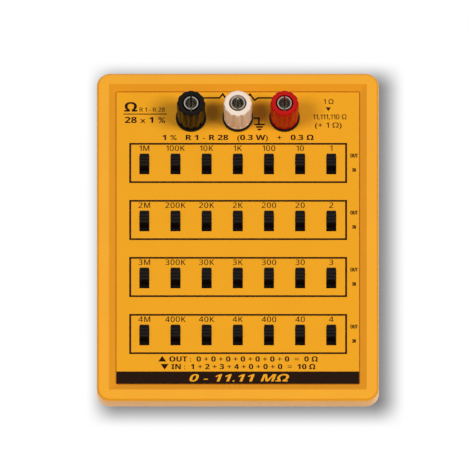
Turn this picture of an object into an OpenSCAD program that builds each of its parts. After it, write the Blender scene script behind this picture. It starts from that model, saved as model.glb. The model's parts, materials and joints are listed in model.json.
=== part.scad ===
// Decade resistance box: a moulded case with a printed face plate, rows of slide switches
// and three binding posts. Sizes are in millimetres. +Z is up, the panel faces up, +Y points
// to the posts, and the box rests on its feet with the origin under its middle.

/* [Cover] */
// Width of the case across the cover
case_w = 115; // [108:1:130]
// Length of the case across the cover
case_l = 146; // [132:1:170]
// Plan radius of the cover's corners
corner_r = 5.6; // [4:0.1:9]
// Height of the cover's outer wall
cover_h = 6; // [5.5:0.1:9]
// Thickness of the cover's outer wall
cover_wall = 2.3; // [2:0.1:3]
// Width of the rim with its rounded outer edge
rim_w = 4.95; // [4:0.05:6]
// Radius of the rim's outer edge
rim_edge_r = 1.2; // [0.6:0.1:2]
// Run of the bevel inside the rim
bevel_run = 2.75; // [1.5:0.05:3]
// Depth of the bevel inside the rim
bevel_depth = 1.3; // [0.8:0.1:1.6]
// Plan radius of the pocket for the face plate
pocket_r = 0.6; // [0.6:0.1:3]
// Thickness of the cover behind the face plate
web_t = 2; // [1.6:0.1:2.6]

/* [Face plate] */
// Thickness of the face plate
plate_t = 0.8; // [0.5:0.1:1]
// Gap around the face plate in its pocket
plate_gap = 0.3; // [0.2:0.05:0.5]
// Depth of the plate's face below the foot of the bevel
plate_step = 0.2; // [0.1:0.05:0.4]

/* [Tub] */
// Height of the tub below the cover
tub_h = 23; // [22:0.5:30]
// Thickness of the tub's walls
tub_wall = 2; // [1.6:0.1:2.5]
// Thickness of the tub's floor
tub_floor = 2; // [1.6:0.1:3]
// How far the walls slope in from the cover to the floor
tub_inset = 7.6; // [4:0.1:9]
// Plan radius of the floor's corners
floor_r = 3; // [2.5:0.1:6]
// Chamfer around the floor's edge
tub_edge = 0.8; // [0.4:0.1:1.2]
// Height of the straight band below the cover's edge
band_drop = 1; // [0.5:0.1:2]
// Gap between the tub's band and the cover
case_fit_gap = 0.2; // [0.1:0.05:0.3]

/* [Feet] */
// Diameter of a foot
foot_d = 10; // [8:0.5:12]
// Height of the feet below the tub
foot_rise = 2; // [1.5:0.1:4]
// Depth of a foot's recess in the tub
foot_recess = 0.5; // [0.3:0.1:0.8]
// Distance of a foot's centre from the side of the case
foot_inset_x = 24.5; // [22:0.5:28]
// Distance of a foot's centre from the end of the case
foot_inset_y = 26; // [26:0.5:30]

/* [Screws] */
// Distance of a case screw from the side of the case
screw_inset_x = 18.5; // [18:0.1:20]
// Distance of a case screw from the end of the case
screw_inset_y = 16.5; // [16:0.1:17]
// Diameter of a case screw
screw_d = 2.9; // [2.5:0.1:3.5]
// Diameter of a case screw's head
screw_head_d = 5.6; // [5:0.1:6]
// Height of the tub's screw bosses
screw_boss_h = 12; // [9:0.5:14]
// Diameter of a board screw
board_screw_d = 2.4; // [2:0.1:2.6]

/* [Switches] */
// Spacing of the switches along a row
switch_pitch = 12.7; // [12.5:0.1:13]
// Distance of the first row from the end of the case that has the posts
first_row_inset = 40.2; // [39.5:0.1:42]
// Distance of the last row from the other end of the case
last_row_inset = 29.6; // [29:0.1:32]
// Width of a switch slot in the panel
slot_w = 4.1; // [3.8:0.1:4.6]
// Length of a switch slot in the panel
slot_l = 8.6; // [7.6:0.1:8.8]
// Travel of a switch knob
knob_travel = 3; // [2:0.1:3.2]
// Gap beside a knob in its slot
knob_gap = 0.15; // [0.15:0.05:0.4]
// Gap at the end of a knob's travel
knob_end_gap = 0.15; // [0.1:0.05:0.3]
// Height of a knob above the panel
knob_rise = 1.8; // [1:0.1:3]
// Ribs across the top of a knob
knob_ribs = 4; // [3:1:5]
// Depth of the grooves between the ribs
rib_depth = 0.4; // [0.2:0.05:0.6]
// Width of the grooves between the ribs
groove_w = 0.55; // [0.4:0.05:0.7]
// Width of a switch housing
housing_w = 6.8; // [6.6:0.1:8]
// Length of a switch housing
housing_l = 13; // [12.8:0.1:13.4]
// Sheet thickness of a switch frame
frame_t = 0.4; // [0.3:0.05:0.5]
// Thickness of the slider under a knob
slider_t = 1.3; // [1:0.1:2]

/* [Binding posts] */
// Spacing of the posts
post_pitch = 19.05; // [18:0.05:20]
// Distance of the posts from the end of the case
post_inset = 19.5; // [18:0.1:21]
// Diameter of the socket in a stud
socket_d = 4.2; // [4.1:0.05:4.4]
// Depth of the socket
socket_depth = 13; // [11:0.1:13.2]
// Outer diameter of a stud
stud_d = 5.8; // [5.6:0.1:6.2]
// Length of a stud below the cover
stud_tail = 5.8; // [5:0.1:6.5]
// Width of the slit across a stud's mouth
slit_w = 0.7; // [0.4:0.1:0.9]
// Depth of the slit
slit_depth = 9; // [6:0.5:9.5]
// Diameter of the wire hole through a stud
wire_hole_d = 2; // [1.2:0.1:2.2]
// Diameter of a cap at its top
cap_d = 11.6; // [11.4:0.1:12.4]
// How much narrower a cap is at its foot
cap_taper = 0.3; // [0:0.05:0.5]
// Height of a cap
cap_h = 14; // [13:0.5:16]
// Flutes around a cap
cap_flutes = 12; // [10:1:16]
// Depth of a flute
flute_depth = 0.4; // [0.2:0.05:0.5]
// Diameter of the mouth in a cap's top
cap_mouth_d = 7.2; // [6.6:0.1:7.6]
// Diameter of a collar
collar_d = 12.5; // [12.2:0.1:14]
// Height of a collar above the panel
collar_h = 1; // [0.6:0.1:2]

/* [Board] */
// Thickness of the circuit board
board_t = 1.6; // [1:0.1:2]
// Height of a switch housing above the board
housing_h = 7.1; // [6:0.1:7.5]
// Length of a resistor's body
resistor_l = 6.3; // [5:0.1:7]
// Diameter of a resistor's body
resistor_d = 2.3; // [1.8:0.1:2.5]

/* [Hidden] */
$fn = 48;

// Names of the decades, from the left column to the right
DECADES = ["m", "00k", "0k", "k", "00", "0", ""];
// First digits of the values, from the top row to the bottom
ROW_DIGITS = [1, 2, 3, 4];
POSTS = ["black", "white", "red"];
POST_COLORS = ["#1c1a1c", "#ece6dc", "#c4121f"];
SIDES = [-1, 1];

function knob_name(row, col) = str("knob_", ROW_DIGITS[row], DECADES[col]);
KNOBS = [for (row = [0:len(ROW_DIGITS) - 1]) for (col = [0:len(DECADES) - 1]) knob_name(row, col)];
ROW_FRAMES = [for (digit = ROW_DIGITS) str("switch_frames_row_", digit)];
ROW_HOUSINGS = [for (digit = ROW_DIGITS) str("switch_housings_row_", digit)];
STUDS = [for (post = POSTS) str(post, "_stud")];
CLAMPS = [for (post = POSTS) str(post, "_clamp_washer")];
CAPS = [for (post = POSTS) str(post, "_cap")];

// How far a cut runs past the face it opens, and how far joined shapes run into each other
over = 1;
lap = 0.5;

// Heights of the case
tub_z0 = foot_rise;
floor_z = tub_z0 + tub_floor;
cover_z0 = tub_z0 + tub_h;
band_z0 = cover_z0 - band_drop;
rim_z = cover_z0 + cover_h;
bevel_z0 = rim_z - bevel_depth;
plate_z1 = bevel_z0 - plate_step;
plate_z0 = plate_z1 - plate_t;
web_z0 = plate_z0 - web_t;

// Plan sizes of the case
pocket_w = case_w - 2 * (rim_w + bevel_run);
pocket_l = case_l - 2 * (rim_w + bevel_run);
cavity_w = case_w - 2 * cover_wall;
cavity_l = case_l - 2 * cover_wall;
tub_w = cavity_w - 2 * case_fit_gap;
tub_l = cavity_l - 2 * case_fit_gap;
tub_r = floor_r + tub_inset;
cavity_r = tub_r + case_fit_gap;
floor_w = tub_w - 2 * tub_inset;
floor_l = tub_l - 2 * tub_inset;

// Case screws and their bosses
screw_x = case_w / 2 - screw_inset_x;
screw_y = case_l / 2 - screw_inset_y;
screw_gap = 0.05;
screw_clearance = 0.25;
boss_wall = 2;
screw_boss_z = tub_z0 + screw_boss_h;
screw_seat_t = 3;
screw_seat_z = screw_boss_z - screw_seat_t;
screw_bite = 8;
screw_head_h = 2;
head_clearance = 0.6;
// Reach of the crossed recess, as a share of the head
recess_reach = 0.6;
recess_w = 0.7;
recess_depth = 1.2;

// Feet
foot_gap = 0.3;
tread_in = 0.8;
tread_h = 0.9;

// Switches
housing_z1 = web_z0 - frame_t;
board_z1 = housing_z1 - housing_h;
board_z0 = board_z1 - board_t;
knob_w = slot_w - 2 * knob_gap;
knob_l = slot_l - knob_travel - 2 * knob_end_gap;
knob_z1 = plate_z1 + knob_rise;
slider_gap = 0.15;
slider_side = 0.7;
slider_lip = 1.3;
slider_w = knob_w + 2 * slider_side;
slider_l = knob_l + 2 * slider_lip;
slider_z1 = housing_z1 - slider_gap;
slider_z0 = slider_z1 - slider_t;
well_w = slider_w + 2 * knob_gap;
well_l = slider_l + knob_travel + 2 * slider_gap;
well_z0 = slider_z0 - slider_gap;
frame_gap = 0.05;
frame_w = housing_w + 2 * (frame_t + frame_gap);
frame_drop = 4;
frame_window_gap = 0.15;
lug_w = 1.2;
lug_tail = 1;
pin_w = 0.9;
pin_t = 0.4;
pin_pitch = 4;
pin_tail = 1.6;
pin_hole_gap = 0.1;
groove_slope = 0.15;
row_pitch = (case_l - first_row_inset - last_row_inset) / (len(ROW_DIGITS) - 1);

// Board, resistors and board screws
board_edge = 1.6;
resistor_gap = 1.25;
resistor_off = housing_l / 2 + resistor_gap + resistor_d / 2;
resistor_cap_l = 1.5;
resistor_waist = 0.15;
resistor_seat = 0.05;
lead_w = 0.6;
lead_span = 10.16;
lead_bend_r = 1.3;
lead_tail = 1.5;
boss_gap = 0.8;
case_boss_d = screw_d + 2 * boss_wall;
board_boss_d = board_screw_d + 2 * boss_wall;
board_screw_x = screw_x - (case_boss_d + board_boss_d) / 2 - boss_gap;
board_screw_head_d = 4.6;
board_screw_head_h = 1.6;
board_screw_bite = 4.5;

// Binding posts
post_y = case_l / 2 - post_inset;
post_fit_gap = 0.1;
turn_gap = 0.15;
collar_z1 = plate_z1 + collar_h;
collar_spigot_d = 8;
collar_gap = 0.2;
collar_hole_d = collar_spigot_d + 2 * collar_gap;
cap_lift_gap = 0.3;
cap_z0 = collar_z1 + cap_lift_gap;
cap_z1 = cap_z0 + cap_h;
cap_ring_h = 0.8;
cap_edge = 0.9;
cap_mouth_depth = 3.5;
flute_r = 1.2;
flange_d = 8.8;
flange_h = 0.8;
flange_z1 = collar_z1 + flange_h;
clamp_t = 0.8;
clamp_z0 = flange_z1 + turn_gap;
clamp_z1 = clamp_z0 + clamp_t;
cap_recess_z1 = clamp_z1 + turn_gap;
wire_hole_lift = 0.3;
wire_hole_z = cap_recess_z1 + wire_hole_d / 2 + wire_hole_lift;
socket_lead_in = 0.4;
stud_z0 = web_z0 - stud_tail;
stud_edge = 0.5;
bush_d = 12;
bush_t = 1.5;
bush_z0 = web_z0 - bush_t;
tag_d = 9.6;
tag_t = 0.5;
tag_z0 = bush_z0 - tag_t;
tag_w = 2.6;
tag_reach = 8.8;
tag_eye_d = 1.4;
nut_sides = 6;
nut_flats = 9;
nut_gap = 0.05;
nut_t = 2.2;
nut_z0 = tag_z0 - nut_t;
wire_d = 1.7;
wire_core_d = 1;
wire_strip = 0.8;

// Board outline: a wide part under the rows and a narrower one that runs past the case screws
rows_y0 = row_y(len(ROW_DIGITS) - 1) - housing_l / 2;
rows_y1 = row_y(0) + resistor_off + resistor_d / 2;
board_w = (len(DECADES) - 1) * switch_pitch + lead_span + 2 * board_edge;
tongue_w = 2 * (screw_x - case_boss_d / 2 - boss_gap);
board_screw_ys = [rows_y0 - boss_gap - board_boss_d / 2, rows_y1 + boss_gap + board_boss_d / 2];
tongue_end = board_screw_head_d / 2 + board_edge;

function col_x(col) = (col - (len(DECADES) - 1) / 2) * switch_pitch;
function row_y(row) = case_l / 2 - first_row_inset - row * row_pitch;
function post_x(post) = (post - (len(POSTS) - 1) / 2) * post_pitch;
// How far the tub's walls have moved out at a height
function draft_at(z) = tub_inset * (z - tub_z0) / (band_z0 - tub_z0);

module at_corners(x, y) {
    for (side = SIDES) for (end = SIDES) translate([side * x, end * y, 0]) children();
}

module at_switches() {
    for (row = [0:len(ROW_DIGITS) - 1]) at_row(row) children();
}

module at_row(row) {
    for (col = [0:len(DECADES) - 1]) translate([col_x(col), row_y(row), 0]) children();
}

module at_posts() {
    for (post = [0:len(POSTS) - 1]) translate([post_x(post), post_y, 0]) children();
}

module at_board_screws() {
    for (y = board_screw_ys) for (side = SIDES) translate([side * board_screw_x, y, 0]) children();
}

module rounded_rect(w, l, r) {
    square([w - 2 * r, l], center = true);
    square([w, l - 2 * r], center = true);
    at_corners(w / 2 - r, l / 2 - r) circle(r = r);
}

module rounded_block(w, l, r, z0, z1) {
    translate([0, 0, z0]) linear_extrude(height = z1 - z0) rounded_rect(w, l, r);
}

// A block whose four walls slope out by grow from z0 to z1 and meet in mitred corners
module drafted_block(w, l, grow, z0, z1) {
    intersection() {
        rotate([90, 0, 0]) linear_extrude(height = l + 2 * grow, center = true)
            slope_profile(w, grow, z0, z1);
        rotate([90, 0, 90]) linear_extrude(height = w + 2 * grow, center = true)
            slope_profile(l, grow, z0, z1);
    }
}

module slope_profile(w, grow, z0, z1) {
    polygon([[-w / 2, z0], [w / 2, z0], [w / 2 + grow, z1], [-w / 2 - grow, z1]]);
}

module ring(d_out, d_in, z0, z1) {
    difference() {
        translate([0, 0, z0]) cylinder(d = d_out, h = z1 - z0);
        translate([0, 0, z0 - over]) cylinder(d = d_in, h = z1 - z0 + 2 * over);
    }
}

module drill(d, z0, z1) {
    translate([0, 0, z0]) cylinder(d = d, h = z1 - z0);
}

// A block centred on X and Y between two heights
module block(w, l, z0, z1) {
    translate([-w / 2, -l / 2, z0]) cube([w, l, z1 - z0]);
}

// Sweeps a section around a w by l rectangle. The section's X runs outwards from the corners' axes
module sweep_around(w, l) {
    for (turn = [0, 180]) rotate([0, 0, turn]) {
        translate([w / 2, 0, 0]) rotate([90, 0, 0]) linear_extrude(height = l, center = true) children();
        translate([0, l / 2, 0]) rotate([90, 0, 90]) linear_extrude(height = w, center = true) children();
        translate([w / 2, l / 2, 0]) rotate_extrude(angle = 90) children();
        translate([-w / 2, l / 2, 0]) rotate([0, 0, 90]) rotate_extrude(angle = 90) children();
    }
}

// Section of the cover's edge, with its rounded rim
module edge_section() {
    translate([0, cover_z0]) square([corner_r, cover_h - rim_edge_r]);
    translate([0, cover_z0]) square([corner_r - rim_edge_r, cover_h]);
    translate([corner_r - rim_edge_r, rim_z - rim_edge_r]) circle(r = rim_edge_r);
}

module cover_block() {
    mid_w = case_w - 2 * corner_r;
    mid_l = case_l - 2 * corner_r;
    block(mid_w, mid_l, cover_z0, rim_z);
    sweep_around(mid_w, mid_l) edge_section();
}

module panel_openings() {
    at_switches() square([slot_w, slot_l], center = true);
    at_posts() circle(d = collar_hole_d);
}

module top_cover() {
    color("#f0a22a") difference() {
        union() {
            difference() {
                cover_block();
                drafted_block(pocket_w, pocket_l, bevel_run, bevel_z0, rim_z);
                rounded_block(pocket_w, pocket_l, pocket_r, plate_z0, bevel_z0);
                rounded_block(cavity_w, cavity_l, cavity_r, cover_z0 - over, web_z0);
            }
            at_corners(screw_x, screw_y) drill(case_boss_d, screw_boss_z, web_z0 + lap);
            at_board_screws() drill(board_boss_d, board_z1, web_z0 + lap);
        }
        translate([0, 0, web_z0 - over]) linear_extrude(height = web_t + 2 * over) panel_openings();
        at_corners(screw_x, screw_y)
            drill(screw_d + 2 * screw_gap, screw_boss_z - over, screw_boss_z + screw_bite + over);
        at_board_screws()
            drill(board_screw_d + 2 * screw_gap, board_z1 - over, board_z1 + board_screw_bite + over);
    }
}

module face_plate() {
    color("#f3a525") translate([0, 0, plate_z0]) linear_extrude(height = plate_t) difference() {
        rounded_rect(pocket_w - 2 * plate_gap, pocket_l - 2 * plate_gap, pocket_r - plate_gap);
        panel_openings();
    }
}

// Section of the tub's wall and the edge of its floor: a chamfer, the sloping wall and the straight band
module tub_section() {
    edge_z = tub_z0 + tub_edge;
    edge_x = floor_r + draft_at(edge_z);
    polygon([
        [0, tub_z0], [edge_x - tub_edge, tub_z0], [edge_x, edge_z], [tub_r, band_z0], [tub_r, web_z0],
        [tub_r - tub_wall, web_z0], [tub_r - tub_wall, band_z0],
        [floor_r + draft_at(floor_z) - tub_wall, floor_z], [0, floor_z]]);
}

module bottom_tub() {
    mid_w = floor_w - 2 * floor_r;
    mid_l = floor_l - 2 * floor_r;
    color("#f0a22a") difference() {
        union() {
            block(mid_w, mid_l, tub_z0, floor_z);
            sweep_around(mid_w, mid_l) tub_section();
            at_corners(screw_x, screw_y)
                drill(screw_head_d + 2 * head_clearance + boss_wall, floor_z - lap, screw_boss_z);
        }
        at_corners(screw_x, screw_y) {
            drill(screw_d + 2 * screw_clearance, tub_z0 - over, screw_boss_z + over);
            drill(screw_head_d + 2 * head_clearance, tub_z0 - over, screw_seat_z);
        }
        at_feet() drill(foot_d + 2 * foot_gap, tub_z0 - over, tub_z0 + foot_recess);
    }
}

module at_feet() {
    at_corners(case_w / 2 - foot_inset_x, case_l / 2 - foot_inset_y) children();
}

module feet() {
    foot_r = foot_d / 2;
    foot_z1 = tub_z0 + foot_recess;
    color("#26241f") at_feet() rotate_extrude() polygon([
        [0, 0], [foot_r - tread_in, 0], [foot_r, tread_h], [foot_r, foot_z1], [0, foot_z1]]);
}

// A screw with its head below z and its shank above, with a crossed recess
module screw(d, head_d, head_h, z, shank_l) {
    difference() {
        union() {
            drill(head_d, z - head_h, z);
            drill(d, z - lap, z + shank_l);
        }
        for (turn = [0, 90]) rotate([0, 0, turn])
            block(head_d * recess_reach, recess_w, z - head_h - over, z - head_h + recess_depth);
    }
}

module case_screws() {
    color("silver") at_corners(screw_x, screw_y)
        screw(screw_d, screw_head_d, screw_head_h, screw_seat_z, screw_seat_t + screw_bite);
}

module board_screws() {
    color("silver") at_board_screws()
        screw(board_screw_d, board_screw_head_d, board_screw_head_h, board_z0, board_t + board_screw_bite);
}

module circuit_board() {
    color("#2f6b43") translate([0, 0, board_z0]) linear_extrude(height = board_t) difference() {
        union() {
            board_strip(board_w, rows_y0 - board_edge, rows_y1 + board_edge);
            board_strip(tongue_w, board_screw_ys[0] - tongue_end, board_screw_ys[1] + tongue_end);
        }
        at_switches() {
            at_pins() circle(d = norm([pin_w, pin_t]) + 2 * pin_hole_gap);
            at_lugs() circle(d = norm([lug_w, frame_t]) + 2 * pin_hole_gap);
            at_leads() circle(d = norm([lead_w, lead_w]) + 2 * pin_hole_gap);
        }
        at_board_screws() circle(d = board_screw_d + 2 * screw_clearance);
        at_wires() circle(d = wire_core_d + 2 * pin_hole_gap);
    }
}

module board_strip(w, y0, y1) {
    translate([-w / 2, y0]) square([w, y1 - y0]);
}

module at_lugs() {
    for (side = SIDES) translate([side * (frame_w - frame_t) / 2, 0, 0]) children();
}

module at_pins() {
    for (step = [-1:1]) translate([0, step * pin_pitch, 0]) children();
}

module at_leads() {
    for (side = SIDES) translate([side * lead_span / 2, resistor_off, 0]) children();
}

module at_wires() {
    at_posts() translate([0, -tag_reach, 0]) children();
}

module switch_terminals() {
    color("gold") at_switches() at_pins() block(pin_w, pin_t, board_z0 - pin_tail, well_z0);
}

module switch_housings(row) {
    color("#2a2220") at_row(row) difference() {
        block(housing_w, housing_l, board_z1, housing_z1);
        block(well_w, well_l, well_z0, housing_z1 + over);
        at_pins() block(pin_w + 2 * pin_hole_gap, pin_t + 2 * pin_hole_gap, board_z1 - over, well_z0 + over);
    }
}

module switch_frames(row) {
    skirt_z = housing_z1 - frame_drop;
    color("lightgray") at_row(row) {
        difference() {
            block(frame_w, housing_l, skirt_z, web_z0);
            block(housing_w + 2 * frame_gap, housing_l + 2 * over, skirt_z - over, housing_z1);
            block(slot_w + 2 * frame_window_gap, slot_l + 2 * frame_window_gap,
                  housing_z1 - over, web_z0 + over);
        }
        at_lugs() block(frame_t, lug_w, board_z0 - lug_tail, skirt_z + lap);
    }
}

// Outline of a knob seen from the side, with a row of ribs along its top
module knob_profile() {
    pitch = (knob_l + groove_w) / knob_ribs;
    groove_z = knob_z1 - rib_depth;
    polygon(concat(
        [[-knob_l / 2, slider_z1 - lap], [knob_l / 2, slider_z1 - lap], [knob_l / 2, knob_z1]],
        [for (groove = [1:knob_ribs - 1]) let (y0 = knob_l / 2 - groove * pitch, y1 = y0 + groove_w)
            each [[y1, knob_z1], [y1 - groove_slope, groove_z],
                  [y0 + groove_slope, groove_z], [y0, knob_z1]]],
        [[-knob_l / 2, knob_z1]]));
}

module switch_knob(row, col) {
    color("#141315") translate([col_x(col), row_y(row) + knob_travel / 2, 0]) {
        block(slider_w, slider_l, slider_z0, slider_z1);
        rotate([90, 0, 90]) linear_extrude(height = knob_w, center = true) knob_profile();
    }
}

// One resistor: a waisted body with a square lead at each end, bent down to the board
module resistor() {
    body_r = resistor_d / 2;
    waist_r = body_r - resistor_waist;
    cap_x0 = resistor_l / 2 - resistor_cap_l;
    rotate([0, 90, 0]) rotate_extrude() polygon([
        [0, -resistor_l / 2], [body_r, -resistor_l / 2], [body_r, -cap_x0],
        [waist_r, -cap_x0 + resistor_waist], [waist_r, cap_x0 - resistor_waist],
        [body_r, cap_x0], [body_r, resistor_l / 2], [0, resistor_l / 2]]);
    rotate([90, 0, 0]) linear_extrude(height = lead_w, center = true) for (side = [0, 1])
        mirror([side, 0]) lead_outline(resistor_l / 2 - lap, body_r + resistor_seat + board_t + lead_tail);
}

// A lead seen from the side, from x0 inside the body, round its bend and down by drop
module lead_outline(x0, drop) {
    outer_r = lead_bend_r + lead_w / 2;
    bend_x = lead_span / 2 - lead_bend_r;
    translate([x0, -lead_w / 2]) square([bend_x - x0, lead_w]);
    translate([bend_x, -lead_bend_r]) intersection() {
        difference() {
            circle(r = outer_r);
            circle(r = lead_bend_r - lead_w / 2);
        }
        square(outer_r);
    }
    translate([lead_span / 2 - lead_w / 2, -drop]) square([lead_w, drop - lead_bend_r]);
}

module resistors() {
    color("#b9a07a") at_switches()
        translate([0, resistor_off, board_z1 + resistor_d / 2 + resistor_seat]) resistor();
}

module post_collars() {
    bore_d = stud_d + 2 * post_fit_gap;
    color("#1c1a1c") at_posts() difference() {
        union() {
            drill(collar_d, plate_z1, collar_z1);
            drill(collar_spigot_d, web_z0, plate_z1 + lap);
        }
        drill(bore_d, web_z0 - over, collar_z1 + over);
    }
}

module post_bushes() {
    color("#1c1a1c") at_posts() ring(bush_d, stud_d + 2 * post_fit_gap, bush_z0, web_z0);
}

module solder_tags() {
    color("khaki") at_posts() translate([0, 0, tag_z0]) linear_extrude(height = tag_t) difference() {
        union() {
            circle(d = tag_d);
            translate([-tag_w / 2, -tag_reach]) square([tag_w, tag_reach]);
            translate([0, -tag_reach]) circle(d = tag_w);
        }
        circle(d = stud_d + 2 * post_fit_gap);
        translate([0, -tag_reach]) circle(d = tag_eye_d);
    }
}

module post_nuts() {
    color("khaki") at_posts() difference() {
        translate([0, 0, nut_z0]) cylinder(d = nut_flats / cos(180 / nut_sides), h = nut_t, $fn = nut_sides);
        drill(stud_d + 2 * nut_gap, nut_z0 - over, tag_z0 + over);
    }
}

module hookup_wires() {
    sleeve_z0 = board_z1 + wire_strip;
    sleeve_z1 = tag_z0 - wire_strip;
    color("#a03028") at_wires() {
        drill(wire_core_d, board_z0 - wire_strip, tag_z0 + tag_t + wire_strip);
        drill(wire_d, sleeve_z0, sleeve_z1);
    }
}

// A stud: a threaded tube with a flange on the collar, a slit mouth and a wire hole
module post_stud(post) {
    stud_r = stud_d / 2;
    color("lightgray") translate([post_x(post), post_y, 0]) difference() {
        rotate_extrude() polygon([
            [0, stud_z0], [stud_r - stud_edge, stud_z0], [stud_r, stud_z0 + stud_edge],
            [stud_r, collar_z1], [flange_d / 2, collar_z1], [flange_d / 2, flange_z1],
            [stud_r, flange_z1], [stud_r, cap_z1], [0, cap_z1]]);
        drill(socket_d, cap_z1 - socket_depth, cap_z1 + over);
        translate([0, 0, cap_z1 - socket_lead_in])
            cylinder(d1 = socket_d, d2 = socket_d + 2 * socket_lead_in, h = socket_lead_in);
        block(slit_w, stud_d + over, cap_z1 - slit_depth, cap_z1 + over);
        translate([0, 0, wire_hole_z]) rotate([0, 90, 0])
            cylinder(d = wire_hole_d, h = stud_d + over, center = true);
    }
}

module clamp_washer(post) {
    color("silver") translate([post_x(post), post_y, 0])
        ring(flange_d, stud_d + 2 * post_fit_gap, clamp_z0, clamp_z1);
}

// A fluted thumb nut with a plain ring at its foot and a recess for the flange and washer
module post_cap(post) {
    top_r = cap_d / 2;
    foot_r = top_r - cap_taper / 2;
    bore_r = stud_d / 2 + post_fit_gap;
    recess_r = flange_d / 2 + cap_lift_gap;
    mouth_r = cap_mouth_d / 2;
    color(POST_COLORS[post]) translate([post_x(post), post_y, 0]) difference() {
        rotate_extrude() polygon([
            [recess_r, cap_z0], [foot_r, cap_z0], [top_r, cap_z1 - cap_edge], [top_r - cap_edge, cap_z1],
            [mouth_r, cap_z1], [mouth_r, cap_z1 - cap_mouth_depth], [bore_r, cap_z1 - cap_mouth_depth],
            [bore_r, cap_recess_z1], [recess_r, cap_recess_z1]]);
        for (flute = [0:cap_flutes - 1]) rotate([0, 0, (flute + 0.5) * 360 / cap_flutes])
            translate([top_r + flute_r - flute_depth, 0, 0])
                drill(2 * flute_r, cap_z0 + cap_ring_h, cap_z1 + over);
    }
}

top_cover();
face_plate();
bottom_tub();
feet();
case_screws();
circuit_board();
board_screws();
switch_terminals();
resistors();
post_collars();
post_bushes();
post_nuts();
solder_tags();
hookup_wires();
for (row = [0:len(ROW_DIGITS) - 1]) {
    switch_frames(row);
    switch_housings(row);
    for (col = [0:len(DECADES) - 1])
        switch_knob(row, col);
}
for (post = [0:len(POSTS) - 1]) {
    post_stud(post);
    clamp_washer(post);
    post_cap(post);
}
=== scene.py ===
# %% [markdown]
# # A decade resistance box
# The object is a bench box of precision resistors: a moulded amber case, a printed face plate, four rows of
# seven slide switches and three binding posts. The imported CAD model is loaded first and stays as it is. It
# is the frame: every visible piece of this lesson is made in metres, where the frame says, and rides on one
# of its bodies, so that the knobs still slide and the caps still turn.

# %% Load the frame
import json
import math

import bmesh
import bpy
from mathutils import Matrix, Vector


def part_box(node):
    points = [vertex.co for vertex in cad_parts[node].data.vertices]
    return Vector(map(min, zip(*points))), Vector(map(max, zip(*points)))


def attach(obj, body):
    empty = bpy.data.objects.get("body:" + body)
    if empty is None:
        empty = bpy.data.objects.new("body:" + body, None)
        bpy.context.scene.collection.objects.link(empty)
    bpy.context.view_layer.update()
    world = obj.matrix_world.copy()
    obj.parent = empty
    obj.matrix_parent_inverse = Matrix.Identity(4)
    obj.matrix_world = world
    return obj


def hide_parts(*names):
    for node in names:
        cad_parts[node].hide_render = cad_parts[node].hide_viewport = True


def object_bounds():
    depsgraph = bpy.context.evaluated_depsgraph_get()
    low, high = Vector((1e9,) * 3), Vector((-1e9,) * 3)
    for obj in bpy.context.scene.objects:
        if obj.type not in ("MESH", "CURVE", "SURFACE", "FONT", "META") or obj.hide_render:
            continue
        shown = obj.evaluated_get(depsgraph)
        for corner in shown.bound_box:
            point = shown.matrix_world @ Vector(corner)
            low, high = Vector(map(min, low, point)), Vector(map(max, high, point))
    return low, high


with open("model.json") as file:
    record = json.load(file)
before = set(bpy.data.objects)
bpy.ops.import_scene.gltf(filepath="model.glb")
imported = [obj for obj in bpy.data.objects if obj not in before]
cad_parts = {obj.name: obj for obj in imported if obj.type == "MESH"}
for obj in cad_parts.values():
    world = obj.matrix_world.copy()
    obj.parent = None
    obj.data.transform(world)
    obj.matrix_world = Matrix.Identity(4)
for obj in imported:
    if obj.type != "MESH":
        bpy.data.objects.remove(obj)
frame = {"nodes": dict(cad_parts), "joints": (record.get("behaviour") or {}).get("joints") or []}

MM = 0.001
CAD_BOX = [list(corner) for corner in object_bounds()]
print("CAD box in mm:", [[round(value / MM, 2) for value in corner] for corner in CAD_BOX])

# %% [markdown]
# ## Places
# Where the switches and the posts are could be written down again here, but then the two models could drift
# apart. The CAD model is asked instead: the box around a knob gives the column and row of its switch, and
# the box around a stud gives the axis of its post.

# %% Ask the frame where the switches and posts are
DECADES = ("m", "00k", "0k", "k", "00", "0", "")
ROWS = (1, 2, 3, 4)
POSTS = ("black", "white", "red")


def middle(node):
    low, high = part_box(node)
    return (low + high) / 2


def joint_range(name):
    return next(joint["range_m"] for joint in frame["joints"] if joint["name"] == name)


SWITCH_TRAVEL = joint_range("knob_1m_slide")[1]
COLUMN_X = [middle(f"knob_1{decade}").x for decade in DECADES]
COLUMN_PITCH = COLUMN_X[1] - COLUMN_X[0]
ROW_Y = [middle(f"knob_{row}m").y - SWITCH_TRAVEL / 2 for row in ROWS]
ROW_PITCH = ROW_Y[0] - ROW_Y[1]
POST_X = [middle(f"{post}_stud").x for post in POSTS]
POST_PITCH = POST_X[1] - POST_X[0]
POST_Y = middle("black_stud").y
PLATE_LOW, PLATE_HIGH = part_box("face_plate")
PANEL_Z = PLATE_HIGH.z
print("columns", [round(x / MM, 2) for x in COLUMN_X], "rows", [round(y / MM, 2) for y in ROW_Y])

# %% [markdown]
# ## Camera
# The photograph looks at the box from its front edge, high above it, through a long lens. A perspective
# camera far away could show that, but lines that are parallel on the box stay all but parallel in the
# photograph, and an orthographic camera is the plain form of that. Its scale is the width of the view on
# the object.

# %% Set the camera
VIEW_ELEVATION = math.radians(66.2)
VIEW_WIDTH = 191.6 * MM
VIEW_TARGET = Vector((-1.14, 0.757, 31)) * MM
VIEW_DISTANCE = 1.0

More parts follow.
